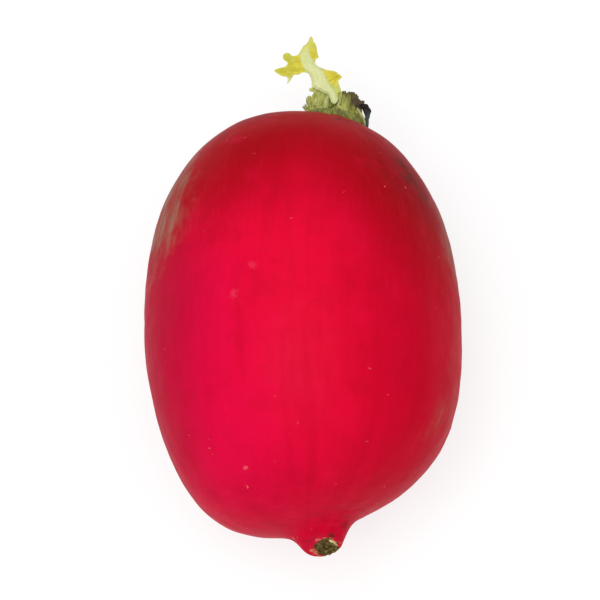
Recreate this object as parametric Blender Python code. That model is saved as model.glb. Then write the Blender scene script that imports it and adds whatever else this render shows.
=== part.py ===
"""A red radish with a trimmed tail, the stubs of its cut leaf stalks, and young leaves that sprout from the crown.

It lies on its side on a small flat spot of its belly: +Y runs along the root towards the crown, +Z is up.
Sizes are in millimetres until the last step, which turns them into Blender's metres.
"""

import math
import random

import bmesh
import bpy
from mathutils import Vector

MM = 0.001

# Driving sizes of the swollen root
HALF_WIDTH = 22.5
CROWN_LENGTH = 31.2
TAIL_LENGTH = 29.7
CROWN_FULLNESS = 2.3
TAIL_FULLNESS = 2.35
BODY_MIDDLE = Vector((0.0, -5.2, 22.05))

# How far the crown and the tail stand off the middle line, as a share of their length
CROWN_LEAN = 0.146
TAIL_LEAN = 0.087

# The root is a little fuller on the -X side, at the shoulder and near the tail
SHOULDER_SKEW = 0.018
HEEL_SKEW = 0.049
LUMP = 0.006

# The trimmed tail: a stub that rises out of a wider flare, on an axis of its own
TAIL_AXIS = Vector((0.089, -1, 0.03)).normalized()
TAIL_STUB_HEIGHT = 3.7
TAIL_STUB_ANGLE = 0.1
TAIL_STUB_EDGE = 2.6
TAIL_FLARE_HEIGHT = 1.35
TAIL_FLARE_ANGLE = 0.155
TAIL_CUT_AT = 32.7
TAIL_CUT_TILT = math.radians(22)

# The flat on top that carries the crown, the level that its heights count from, and the skin's faces
CROWN_ZERO_AT = 30.75
PLATFORM_HEIGHT = -0.3
ROUND_FACES = 60
BODY_RINGS = 30
STUB_RINGS = 13
CROWN_ANGLE = 0.19
TAIL_ANGLE = 0.27

# Meshes that touch keep this much air between them
GAP = 0.3

# The crown's collar, as (radius, height) from its rim to its middle
COLLAR = [(4.75, PLATFORM_HEIGHT + GAP), (4.85, 0.6), (4.4, 1.15), (3.2, 1.5), (1.7, 1.7)]
COLLAR_TOP = 1.8
NOTCH_DEPTH = 1.1
NOTCH_TURN = math.radians(16)
NOTCH_WIDTH = math.radians(24)

# Stubs of cut leaf stalks: turn round the crown in degrees (0 is +X, 90 is up), height, width, outward lean
OUTER_RADIUS = 3.15
OUTER_STUBS = [
    (178, 2.9, 2.4, 0.62),
    (155, 3.8, 2.2, 0.42),
    (135, 4.0, 1.7, 0.14),
    (124, 2.8, 0.9, 0.0),
    (64, 4.5, 1.7, 0.02),
    (40, 4.9, 1.9, 0.0),
    (10, 3.7, 1.9, 0.05),
    (-20, 3.5, 2.1, 0.12),
    (-54, 3.9, 2.2, 0.12),
    (-90, 4.2, 2.2, 0.14),
    (-126, 3.7, 2.2, 0.18),
    (-158, 3.3, 1.9, 0.35),
]
INNER_RADIUS = 1.95
INNER_STUBS = [
    (172, 2.9, 1.2, 0.0),
    (232, 3.0, 1.2, 0.0),
    (292, 2.8, 1.2, 0.0),
    (352, 3.1, 1.2, 0.0),
]
STUB_THICKNESS = 1.25
STUB_SIDES = 14


def crown_axes():
    """The crown's own directions: to the right, up its axis, and towards the sky."""
    axis = Vector((CROWN_LEAN, 1, 0)).normalized()
    return Vector((axis.y, -axis.x, 0)), axis, Vector((0, 0, 1))


def crown_point(right, height, front):
    """A point given in the crown's own frame: to the right, up its axis, and towards the sky."""
    to_right, axis, to_front = crown_axes()
    foot = BODY_MIDDLE + axis * CROWN_ZERO_AT
    return foot + to_right * right + axis * height + to_front * front


def root_point(from_crown, turn):
    """A point of the skin. from_crown is 0 at the crown and pi at the tail; turn is 0 on the +X side."""
    lean = CROWN_LEAN if from_crown < math.pi / 2 else TAIL_LEAN
    ring = math.sin(from_crown)
    way = Vector((ring * math.cos(turn), math.cos(from_crown), ring * math.sin(turn)))
    way.x += lean * math.cos(from_crown) ** 2
    way.normalize()
    side = math.hypot(way.x, way.z)
    leaning = way.x / max(side, 1e-9)
    open_angle = math.atan2(side, abs(way.y))
    if way.y > 0:
        length, fullness = CROWN_LENGTH, CROWN_FULLNESS
        skew = SHOULDER_SKEW * math.sin(2 * open_angle)
    else:
        length, fullness = TAIL_LENGTH, TAIL_FULLNESS
        skew = HEEL_SKEW * math.sin(4 * open_angle) * math.cos(open_angle) ** 2
    reach = ((side / HALF_WIDTH) ** fullness + (abs(way.y) / length) ** fullness) ** (-1 / fullness)
    reach *= 1 - skew * leaning + LUMP * side**2 * math.sin(3 * turn)
    from_stub = way.angle(TAIL_AXIS)
    reach += TAIL_STUB_HEIGHT * math.exp(-((from_stub / TAIL_STUB_ANGLE) ** TAIL_STUB_EDGE))
    reach += TAIL_FLARE_HEIGHT * math.exp(-((from_stub / TAIL_FLARE_ANGLE) ** 2))
    return BODY_MIDDLE + way * reach


def even_steps(first, last, count):
    return [first + (last - first) * i / count for i in range(count)]


def ring_angles():
    """Where the rings of the skin lie: close together round the tail's stub."""
    crown = [CROWN_ANGLE / 2]
    body = even_steps(CROWN_ANGLE, math.pi - TAIL_ANGLE, BODY_RINGS)
    tail = even_steps(math.pi - TAIL_ANGLE, math.pi, STUB_RINGS)
    return crown + body + tail


def join_rings(bm, rings):
    """Skins neighbouring rings of vertices with four-sided faces."""
    for low, high in zip(rings, rings[1:]):
        for i in range(len(low)):
            j = (i + 1) % len(low)
            bm.faces.new((low[i], low[j], high[j], high[i]))


def cut_flat(bm, point, outwards):
    """Cuts off all that lies beyond a plane and closes the cut with one flat face."""
    every = bm.verts[:] + bm.edges[:] + bm.faces[:]
    bmesh.ops.bisect_plane(
        bm, geom=every, plane_co=point, plane_no=outwards, clear_outer=True, dist=1e-5
    )
    rim = [edge for edge in bm.edges if edge.is_boundary]
    bmesh.ops.contextual_create(bm, geom=rim)


def finished(bm, name, colour, roughness):
    """Turns a bmesh in millimetres into an object in metres, with its own plain material."""
    bmesh.ops.recalc_face_normals(bm, faces=bm.faces[:])
    bmesh.ops.scale(bm, vec=(MM, MM, MM), verts=bm.verts[:])
    mesh = bpy.data.meshes.new(name)
    bm.to_mesh(mesh)
    bm.free()
    mesh.shade_smooth()
    mesh.set_sharp_from_angle(angle=math.radians(40))
    material = bpy.data.materials.new(name)
    material.use_nodes = True
    shader = material.node_tree.nodes["Principled BSDF"]
    shader.inputs["Base Color"].default_value = (*colour, 1)
    shader.inputs["Roughness"].default_value = roughness
    shader.inputs["Metallic"].default_value = 0
    mesh.materials.append(material)
    made = bpy.data.objects.new(name, mesh)
    bpy.context.scene.collection.objects.link(made)
    return made


def root():
    """The swollen root and its tail, one solid, with a flat to lie on and a flat that carries the crown."""
    bm = bmesh.new()
    turns = even_steps(0, 2 * math.pi, ROUND_FACES)
    crown_tip = bm.verts.new(root_point(0, 0))
    rings = [[bm.verts.new(root_point(a, t)) for t in turns] for a in ring_angles()]
    tail_tip = bm.verts.new(root_point(math.pi, 0))
    join_rings(bm, rings)
    for i in range(ROUND_FACES):
        j = (i + 1) % ROUND_FACES
        bm.faces.new((crown_tip, rings[0][j], rings[0][i]))
        bm.faces.new((tail_tip, rings[-1][i], rings[-1][j]))
    _, crown_axis, _ = crown_axes()
    cut_flat(bm, crown_point(0, PLATFORM_HEIGHT, 0), crown_axis)
    tail_face = TAIL_AXIS * math.cos(TAIL_CUT_TILT) + Vector((0, 0, math.sin(TAIL_CUT_TILT)))
    cut_flat(bm, BODY_MIDDLE + TAIL_AXIS * TAIL_CUT_AT, tail_face)
    cut_flat(bm, Vector((0, 0, 0)), Vector((0, 0, -1)))
    return finished(bm, "root", (0.62, 0.012, 0.045), 0.42)


def smooth_path(knots, count):
    """count + 1 points on a smooth curve that runs through the knots."""
    knots = [Vector(k) for k in knots]
    ends = [2 * knots[0] - knots[1], *knots, 2 * knots[-1] - knots[-2]]
    points = []
    for step in range(count + 1):
        place = step / count * (len(knots) - 1)
        i = min(int(place), len(knots) - 2)
        t = place - i
        a, b, c, d = ends[i : i + 4]
        bend = 2 * a - 5 * b + 4 * c - d
        twist = 3 * b - a - 3 * c + d
        points.append(b + 0.5 * t * (c - a) + 0.5 * t * t * bend + 0.5 * t**3 * twist)
    return points


def between(values, share):
    """Reads a short list of values as a line of straight pieces, share running from 0 to 1."""
    place = share * (len(values) - 1)
    i = min(int(place), len(values) - 2)
    return values[i] + (values[i + 1] - values[i]) * (place - i)


def blade(bm, knots, left, right, thickness, facing, steps=10, sides=8):
    """A leaf lobe or a rib: a flat sweep through the knots, whose widths on both sides follow two lists."""
    path = smooth_path([crown_point(*k) for k in knots], steps)
    to_right, axis, to_front = crown_axes()
    face = (to_right * facing[0] + axis * facing[1] + to_front * facing[2]).normalized()
    rings = []
    for i, point in enumerate(path):
        along = (path[min(i + 1, steps)] - path[max(i - 1, 0)]).normalized()
        across = along.cross(face).normalized()
        normal = across.cross(along)
        share = i / steps
        half = between(thickness, share) / 2
        ring = []
        for s in range(sides):
            angle = 2 * math.pi * s / sides
            reach = between(right if math.cos(angle) > 0 else left, share)
            offset = across * reach * math.cos(angle) + normal * half * math.sin(angle)
            ring.append(bm.verts.new(point + offset))
        rings.append(ring)
    join_rings(bm, rings)
    bm.faces.new(rings[0][::-1])
    bm.faces.new(rings[-1])


def stub(bm, radius, turn, height, width, lean, seed):
    """The stub of a cut leaf stalk: a ribbed, curved strip with a ragged and sunken cut."""
    draw = random.Random(seed)
    angle = math.radians(turn)
    out = (math.cos(angle), math.sin(angle))
    aside = (-out[1], out[0])
    slant = draw.uniform(-0.4, 0.4)
    foot = 0.6 + 0.02 * seed
    levels = [(foot, 1.15, 1.15), (1.7, 1.05, 1.05), (height - 0.9, 0.95, 0.95), (height, 1.0, 1.0)]
    levels.append((height - 0.45, 0.62, 0.5))
    rings = []
    for level, wider, thicker in levels:
        ring = []
        for s in range(STUB_SIDES):
            a = 2 * math.pi * s / STUB_SIDES
            rib = 1 + 0.10 * math.cos(4 * a)
            wide = math.sin(a) * width / 2 * wider * rib
            thick = math.cos(a) * STUB_THICKNESS / 2 * thicker * rib
            from_axis = radius + thick - 0.22 * wide**2 + lean * (level - 1)
            rise = level
            if level == height:
                rise += slant * math.sin(a) + draw.uniform(-0.2, 0.2)
            right = from_axis * out[0] + wide * aside[0]
            front = from_axis * out[1] + wide * aside[1]
            ring.append(bm.verts.new(crown_point(right, rise, front)))
        rings.append(ring)
    join_rings(bm, rings)
    bm.faces.new(rings[0][::-1])
    bm.faces.new(rings[-1])


def collar(bm):
    """The low dome on the crown that the stalks grow from, notched where the dried stalk stands."""
    rings = []
    for radius, height in COLLAR:
        ring = []
        for turn in even_steps(0, 2 * math.pi, 36):
            off_notch = (turn - NOTCH_TURN + math.pi) % (2 * math.pi) - math.pi
            wide = radius - NOTCH_DEPTH * (radius / 4.85) * math.exp(-((off_notch / NOTCH_WIDTH) ** 2))
            wide *= 1 + 0.02 * math.sin(5 * turn)
            ring.append(bm.verts.new(crown_point(wide * math.cos(turn), height, wide * math.sin(turn))))
        rings.append(ring)
    join_rings(bm, rings)
    bm.faces.new(rings[0][::-1])
    top = bm.verts.new(crown_point(0, COLLAR_TOP, 0))
    for i in range(len(rings[-1])):
        bm.faces.new((rings[-1][i], rings[-1][(i + 1) % len(rings[-1])], top))


def fused(name, builders, colour, roughness):
    """Joins the bodies that the builders make into one solid, by a Boolean union."""
    loose = bpy.data.collections.new(name + "_pieces")
    bpy.context.scene.collection.children.link(loose)
    first, *others = [single(f"{name}_{i}", build) for i, build in enumerate(builders)]
    for other in others:
        loose.objects.link(other)
    bpy.context.scene.collection.objects.link(first)
    union = first.modifiers.new("union", "BOOLEAN")
    union.operation = "UNION"
    union.operand_type = "COLLECTION"
    union.collection = loose
    union.solver = "EXACT"
    bpy.context.view_layer.update()
    joined = bmesh.new()
    joined.from_object(first, bpy.context.evaluated_depsgraph_get())
    for piece in [first, *others]:
        bpy.data.objects.remove(piece)
    bpy.data.collections.remove(loose)
    return finished(joined, name, colour, roughness)


def single(name, build):
    """One closed body as an object of its own, in millimetres, ready for a union."""
    bm = bmesh.new()
    build(bm)
    bmesh.ops.recalc_face_normals(bm, faces=bm.faces[:])
    mesh = bpy.data.meshes.new(name)
    bm.to_mesh(mesh)
    bm.free()
    return bpy.data.objects.new(name, mesh)


def leaf_stubs():
    """The collar and both whorls of cut stalks, fused into one green body."""
    builders = [collar]
    whorls = [(OUTER_RADIUS, kind) for kind in OUTER_STUBS] + [(INNER_RADIUS, kind) for kind in INNER_STUBS]
    for seed, (radius, kind) in enumerate(whorls):
        builders.append(lambda bm, r=radius, k=kind, s=seed: stub(bm, r, *k, s))
    return fused("leaf_stubs", builders, (0.27, 0.30, 0.06), 0.6)


def dried_stalk():
    """A withered stalk at the crown's right edge, shrunk thin and bent over at its top."""
    bm = bmesh.new()
    knots = [
        (5.0, -0.2, 1.5),
        (5.05, 1.1, 1.6),
        (5.15, 2.3, 1.8),
        (5.0, 3.1, 2.0),
        (4.5, 3.35, 2.2),
        (3.95, 2.95, 2.4),
    ]
    left = [0.55, 0.45, 0.5, 0.7, 0.6, 0.4]
    right = [0.5, 0.4, 0.45, 0.6, 0.5, 0.35]
    blade(bm, knots, left, right, [1.1, 0.9, 0.9, 1.1, 0.9, 0.7], (0, 0, 1), 14, 10)
    return finished(bm, "dried_stalk", (0.05, 0.035, 0.025), 0.75)


def young_leaf():
    """The young leaf: a thick pale rib with yellow lobes on both sides."""
    rib = [
        (-0.2, 2.15, 2.85),
        (-0.38, 3.0, 2.9),
        (-1.2, 4.3, 2.75),
        (-2.1, 5.3, 2.55),
        (-3.05, 6.25, 2.5),
        (-4.1, 7.4, 2.45),
        (-4.9, 8.5, 2.4),
        (-5.5, 9.6, 2.35),
        (-5.6, 10.9, 2.2),
        (-5.15, 12.7, 2.0),
    ]
    front = (0, 0, 1)

    def rib_body(bm):
        left = [0.3, 0.36, 0.5, 1.1, 1.15, 1.15, 1.2, 1.15, 0.75, 0.12]
        right = [0.35, 0.45, 0.7, 0.95, 1.0, 1.0, 1.0, 0.9, 0.6, 0.12]
        thickness = [0.7, 0.9, 1.1, 1.2, 1.2, 1.1, 1.0, 0.8, 0.7, 0.6]
        blade(bm, rib, left, right, thickness, front, 20)

    def scalloped_edge(bm):
        knots = [(-1.9, 5.2, 2.5), (-2.9, 5.1, 2.5), (-3.9, 5.1, 2.3)]
        blade(bm, knots, [0.5, 0.6, 0.35], [0.5, 0.45, 0.3], [0.9, 0.7, 0.6], front, 6)

    def upper_left_lobe(bm):
        knots = [(-4.9, 8.6, 2.3), (-6.5, 8.8, 2.2), (-7.9, 9.2, 2.2), (-8.75, 9.1, 2.6)]
        blade(bm, knots, [1.0, 0.9, 0.45, 0.35], [0.9, 0.6, 0.5, 0.4], [0.8, 0.6, 0.6, 0.6], (0.1, 0.2, 1))

    def lower_left_lobe(bm):
        knots = [(-4.2, 7.8, 2.3), (-6.3, 7.6, 2.2), (-7.9, 7.2, 2.0), (-9.75, 6.75, 2.2)]
        blade(bm, knots, [0.9, 1.0, 0.7, 0.12], [0.9, 0.9, 0.8, 0.12], [0.8, 0.6, 0.6, 0.6], (-0.1, -0.1, 1))

    def hanging_tooth(bm):
        knots = [(-6.4, 7.4, 2.1), (-7.0, 6.4, 1.9), (-7.4, 5.3, 1.8)]
        blade(bm, knots, [0.5, 0.4, 0.12], [0.5, 0.35, 0.12], [0.7, 0.6, 0.6], front, 6)

    def tip_lobe(bm):
        knots = [(-5.35, 12.3, 2.0), (-5.0, 11.3, 1.9), (-4.5, 10.1, 1.8), (-4.3, 9.0, 1.7)]
        blade(bm, knots, [0.3, 0.8, 0.9, 0.3], [0.3, 0.8, 0.8, 0.3], [0.6, 0.6, 0.7, 0.7], (0.3, 0, 1))

    def right_lobe(bm):
        knots = [(-3.6, 7.9, 2.3), (-2.4, 7.6, 1.9), (-1.0, 7.3, 1.6), (0.1, 6.9, 1.5)]
        blade(bm, knots, [0.5, 0.5, 0.7, 0.3], [0.7, 1.2, 1.4, 0.5], [0.8, 0.6, 0.6, 0.6], (0.3, 0.2, 1))

    def right_fold(bm):
        knots = [(-2.2, 6.6, 2.2), (-1.2, 6.4, 1.7), (-0.3, 5.8, 1.3), (0.2, 5.0, 1.2)]
        blade(bm, knots, [0.5, 0.6, 0.5, 0.2], [0.5, 0.8, 0.7, 0.2], [0.8, 0.6, 0.6, 0.6], (0.2, 0.1, 1))

    lobes = [upper_left_lobe, lower_left_lobe, hanging_tooth, tip_lobe, right_lobe, right_fold]
    return fused("young_leaf", [rib_body, scalloped_edge, *lobes], (0.62, 0.60, 0.12), 0.5)


def heart_leaves():
    """The bud in the crown's middle: a few tiny leaves folded round each other."""

    def core(bm):
        knots = [(0.0, 2.1, -0.3), (0.1, 3.2, -0.3), (0.3, 4.4, -0.2)]
        blade(bm, knots, [0.7, 0.7, 0.4], [0.7, 0.7, 0.4], [1.4, 1.3, 0.8], (0, 0, 1), 4)

    def leaf(knots, widths, facing):
        return lambda bm: blade(bm, knots, widths, widths, [0.8, 0.7, 0.6, 0.6], facing, 8)

    leaves = [
        leaf(
            [(0.1, 3.0, -0.3), (0.6, 4.2, 0.0), (0.9, 5.1, 0.1), (0.5, 5.9, 0.0)],
            [0.5, 0.9, 1.0, 0.4],
            (0.4, 0, 1),
        ),
        leaf(
            [(-0.2, 3.2, -0.4), (-1.5, 4.6, -0.1), (-3.1, 5.3, 0.4), (-4.3, 5.2, 0.7)],
            [0.4, 0.5, 0.6, 0.4],
            (0, 0.5, 1),
        ),
        leaf(
            [(0.0, 3.0, -0.5), (-0.3, 4.6, -1.4), (-0.5, 5.8, -2.4), (-0.4, 6.3, -3.3)],
            [0.4, 0.8, 0.9, 0.2],
            (0, -1, -0.5),
        ),
        leaf(
            [(0.3, 3.0, -0.5), (1.0, 4.6, -0.9), (1.8, 5.6, -1.3), (2.5, 5.8, -1.9)],
            [0.4, 0.6, 0.7, 0.2],
            (1, -1, 0.2),
        ),
    ]
    return fused("heart_leaves", [core, *leaves], (0.60, 0.55, 0.06), 0.5)


for old in list(bpy.data.objects):
    bpy.data.objects.remove(old)
root()
leaf_stubs()
dried_stalk()
young_leaf()
heart_leaves()
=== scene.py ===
# %% [markdown]
# # A red radish
# This lesson dresses one oval radish: its waxy crimson skin, the brown cut at its tail, the ragged stubs
# of the cut leaf stalks, and the yellow leaf that has sprouted from the crown since. The solids are
# loaded first and stay where they are. Every visible piece is then rebuilt finely in the same place.

# %% Load the solids
import math
import random
from types import SimpleNamespace

import bmesh
import bpy
from mathutils import Matrix, Vector, noise
from mathutils.geometry import delaunay_2d_cdt


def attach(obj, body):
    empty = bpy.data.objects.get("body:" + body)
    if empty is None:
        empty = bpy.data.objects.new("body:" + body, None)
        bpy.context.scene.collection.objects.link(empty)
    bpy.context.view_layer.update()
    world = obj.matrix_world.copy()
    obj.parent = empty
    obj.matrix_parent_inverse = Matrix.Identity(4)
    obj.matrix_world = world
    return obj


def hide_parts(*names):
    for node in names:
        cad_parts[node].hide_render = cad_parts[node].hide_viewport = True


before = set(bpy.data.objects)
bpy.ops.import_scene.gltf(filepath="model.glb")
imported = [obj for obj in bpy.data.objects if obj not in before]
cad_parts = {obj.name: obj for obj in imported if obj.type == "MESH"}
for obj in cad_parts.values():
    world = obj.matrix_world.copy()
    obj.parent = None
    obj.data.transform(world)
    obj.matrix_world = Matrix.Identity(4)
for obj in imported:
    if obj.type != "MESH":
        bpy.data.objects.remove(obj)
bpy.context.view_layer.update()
print("nodes:", sorted(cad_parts))

# %% [markdown]
# ## The sizes of this radish
# Lengths are millimetres, apart from those of the floor and the lamp, and each piece shrinks to metres
# when it is finished. The root runs along Y with its crown at +Y, and lies on its side on the floor.
# These are the same sizes that the solids have.

# %% Sizes of the root and of its crown
MM = 0.001
HALF_WIDTH = 22.5
CROWN_LENGTH = 31.2
TAIL_LENGTH = 29.7
BODY_MIDDLE = Vector((0.0, -5.2, 22.05))
CROWN_LEAN = 0.146
TAIL_LEAN = 0.087
CROWN_ZERO_AT = 30.75
CROWN_AXIS = Vector((CROWN_LEAN, 1, 0)).normalized()
CROWN_RIGHT = Vector((CROWN_AXIS.y, -CROWN_AXIS.x, 0))
CROWN_FRONT = Vector((0, 0, 1))
TAIL_AXIS = Vector((0.089, -1, 0.03)).normalized()
TAIL_CUT_AT = 32.7
TAIL_CUT_TILT = math.radians(22)
CUT_FACE = TAIL_AXIS * math.cos(TAIL_CUT_TILT) + Vector((0, 0, math.sin(TAIL_CUT_TILT)))
SCAR_MIDDLE = Vector((3.3, -37.6, 22.8))


def crown_point(right, height, front):
    """A point given in the crown's own frame: to the right, up its axis, and towards the sky."""
    foot = BODY_MIDDLE + CROWN_AXIS * CROWN_ZERO_AT
    return foot + CROWN_RIGHT * right + CROWN_AXIS * height + CROWN_FRONT * front


# %% [markdown]
# ## Camera
# The photograph looks almost straight down on the radish, a little from the tail's side, so that the
# crown stands just above the horizon of the root. The camera is about 29 centimetres away, with a long
# lens.

# %% Place the camera
CAMERA_TILT = math.radians(17)
CAMERA_DISTANCE = 285.6
LENS = 120
SENSOR_WIDTH = 36
# In pixels of the photograph's frame
FRAME_WIDTH_PIXELS = 600
MIDDLE_RIGHT_OF_FRAME_CENTRE = 3.2
MIDDLE_BELOW_FRAME_CENTRE = 26.4

view_right = Vector((1, 0, 0))
view_up = Vector((0, math.cos(CAMERA_TILT), math.sin(CAMERA_TILT)))
view_back = Vector((0, -math.sin(CAMERA_TILT), math.cos(CAMERA_TILT)))
camera_data = bpy.data.cameras.new("camera")
camera_data.lens = LENS
camera_data.sensor_width = SENSOR_WIDTH
mm_per_pixel = CAMERA_DISTANCE * SENSOR_WIDTH / LENS / FRAME_WIDTH_PIXELS
aim = BODY_MIDDLE - view_right * MIDDLE_RIGHT_OF_FRAME_CENTRE * mm_per_pixel
aim += view_up * MIDDLE_BELOW_FRAME_CENTRE * mm_per_pixel
camera = bpy.data.objects.new("camera", camera_data)
camera.matrix_world = Matrix.Translation((aim + view_back * CAMERA_DISTANCE) * MM) @ (
    Matrix((view_right, view_up, view_back)).transposed().to_4x4()
)
bpy.context.scene.collection.objects.link(camera)
bpy.context.scene.camera = camera
print("millimetres per pixel:", round(mm_per_pixel, 4))

# %% [markdown]
# ## Floor and light
# A pale floor, a bright even sky, and one broad soft lamp overhead, a little on the tail's side. The
# photograph has no shadow to speak of, so the floor glows a little by itself, as a light table does, and
# its shadows stay faint.

# %% Build the floor, the sky and the lamp
FLOOR_REACH = 4
FLOOR_GREY = 0.3
FLOOR_GLOW = 0.7
SKY_STRENGTH = 0.58


def soft_lamp(name, place, size, watts):
    """A square lamp that faces the middle of the root. Its place is in metres."""
    data = bpy.data.lights.new(name, "AREA")
    data.size = size
    data.energy = watts
    lamp = bpy.data.objects.new(name, data)
    lamp.location = place
    lamp.rotation_euler = (Vector(place) - BODY_MIDDLE * MM).to_track_quat("Z", "Y").to_euler()
    bpy.context.scene.collection.objects.link(lamp)


floor_mesh = bpy.data.meshes.new("floor")
floor_corners = [(x * FLOOR_REACH, y * FLOOR_REACH, 0) for x, y in ((-1, -1), (1, -1), (1, 1), (-1, 1))]
floor_mesh.from_pydata(floor_corners, [], [(0, 1, 2, 3)])
floor = bpy.data.objects.new("floor", floor_mesh)
bpy.context.scene.collection.objects.link(floor)
floor_finish = bpy.data.materials.new("pale_floor")
floor_finish.use_nodes = True
floor_shader = floor_finish.node_tree.nodes["Principled BSDF"]
floor_shader.inputs["Base Color"].default_value = (FLOOR_GREY, FLOOR_GREY, FLOOR_GREY, 1)
floor_shader.inputs["Roughness"].default_value = 0.9
floor_shader.inputs["Specular IOR Level"].default_value = 0.1
floor_shader.inputs["Emission Color"].default_value = (1, 1, 1, 1)
floor_shader.inputs["Emission Strength"].default_value = FLOOR_GLOW
floor_mesh.materials.append(floor_finish)

sky = bpy.data.worlds.new("sky")
sky.use_nodes = True
sky.node_tree.nodes["Background"].inputs["Color"].default_value = (1, 1, 1, 1)
sky.node_tree.nodes["Background"].inputs["Strength"].default_value = SKY_STRENGTH
bpy.context.scene.world = sky
bpy.context.scene.view_settings.view_transform = "Standard"
soft_lamp("key", place=(-0.08, -0.13, 0.68), size=0.4, watts=3.0)

# %% [markdown]
# ## Wires: sums that build nodes
# Geometry and shader trees both have Math nodes. A small class lets a formula be written as in a
# notebook: each + or * on a wire adds one Math node and returns the wire that leaves it.

# %% Define wires


def plug(tree, socket, value):
    """Feeds a socket with a wire, or sets it to a plain value."""
    if isinstance(value, Wire):
        tree.links.new(value.socket, socket)
    else:
        socket.default_value = value


class Wire:
    """One value that flows through a node tree."""

    def __init__(self, tree, socket):
        self.tree = tree
        self.socket = socket

    def maths(self, operation, *others):
        node = self.tree.nodes.new("ShaderNodeMath")
        node.operation = operation
        for socket, value in zip(node.inputs, (self, *others)):
            plug(self.tree, socket, value)
        return Wire(self.tree, node.outputs[0])

    def __add__(self, other):
        return self.maths("ADD", other)

    def __sub__(self, other):
        return self.maths("SUBTRACT", other)

    def __mul__(self, other):
        return self.maths("MULTIPLY", other)

    def __truediv__(self, other):
        return self.maths("DIVIDE", other)

    def __pow__(self, other):
        return self.maths("POWER", other)

    __radd__ = __add__
    __rmul__ = __mul__

    def parts(self):
        """The three numbers of a vector wire."""
        node = self.tree.nodes.new("ShaderNodeSeparateXYZ")
        plug(self.tree, node.inputs[0], self)
        return [Wire(self.tree, output) for output in node.outputs]

    def fade(self, low, high):
        """0 below low, 1 above high, and smooth in between. Low may be the larger one."""
        node = self.tree.nodes.new("ShaderNodeMapRange")
        node.interpolation_type = "SMOOTHSTEP"
        plug(self.tree, node.inputs["Value"], self)
        plug(self.tree, node.inputs["From Min"], low)
        plug(self.tree, node.inputs["From Max"], high)
        return Wire(self.tree, node.outputs["Result"])

    def hump(self, middle, width):
        """A bell curve: 1 at the middle, almost 0 two widths away."""
        away = (self - middle) / width
        return (away * away * -1).maths("EXPONENT")


def as_vector(tree, *parts):
    """Joins three numbers into a vector wire."""
    node = tree.nodes.new("ShaderNodeCombineXYZ")
    for socket, value in zip(node.inputs, parts):
        plug(tree, socket, value)
    return Wire(tree, node.outputs[0])


def along_way(parts, way):
    """How far a point, given as three wires, lies along a fixed direction."""
    return parts[0] * way.x + parts[1] * way.y + parts[2] * way.z


def cloud(tree, place, scale, detail=2.0, roughness=0.5):
    """Soft noise from 0 to 1."""
    node = tree.nodes.new("ShaderNodeTexNoise")
    plug(tree, node.inputs["Vector"], place)
    node.inputs["Scale"].default_value = scale
    node.inputs["Detail"].default_value = detail
    node.inputs["Roughness"].default_value = roughness
    return Wire(tree, node.outputs[0])


# %% [markdown]
# ## Finishes
# A finish starts as a Principled shader. Colours are written as a screen shows them, from 0 to 255, and
# turned into the linear values that shaders use. Patterns read Object coordinates, which are metres here.

# %% Define the helpers for finishes


def paint(red, green, blue):
    """A colour as a screen shows it, in linear values."""
    shares = [value / 255 for value in (red, green, blue)]
    linear = [s / 12.92 if s <= 0.04045 else ((s + 0.055) / 1.055) ** 2.4 for s in shares]
    return (*linear, 1.0)


def new_finish(name):
    """A material, its tree, its shader and its Object coordinates in millimetres."""
    material = bpy.data.materials.new(name)
    material.use_nodes = True
    tree = material.node_tree
    place = Wire(tree, tree.nodes.new("ShaderNodeTexCoord").outputs["Object"])
    parts = [part * (1 / MM) for part in place.parts()]
    return material, tree, tree.nodes["Principled BSDF"], parts


def mix(tree, amount, under, over):
    """Lays one colour over another by an amount from 0 to 1."""
    node = tree.nodes.new("ShaderNodeMix")
    node.data_type = "RGBA"
    plug(tree, node.inputs[0], amount)
    plug(tree, node.inputs[6], under)
    plug(tree, node.inputs[7], over)
    return Wire(tree, node.outputs[2])


def read_mark(tree, name):
    """A number that the mesh carries at each of its points."""
    node = tree.nodes.new("ShaderNodeAttribute")
    node.attribute_name = name
    return Wire(tree, node.outputs["Fac"])


def relief(tree, shader, height, depth):
    """Raises the surface in its shading by height times a depth in millimetres."""
    node = tree.nodes.new("ShaderNodeBump")
    node.inputs["Distance"].default_value = depth * MM
    plug(tree, node.inputs["Height"], height)
    plug(tree, shader.inputs["Normal"], Wire(tree, node.outputs[0]))


def glow_within(shader, weight, reach, depth):
    """Lets light into the tissue: its reach in red, green and blue, as shares of a depth in millimetres."""
    shader.inputs["Subsurface Weight"].default_value = weight
    shader.inputs["Subsurface Radius"].default_value = reach
    shader.inputs["Subsurface Scale"].default_value = depth * MM
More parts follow.
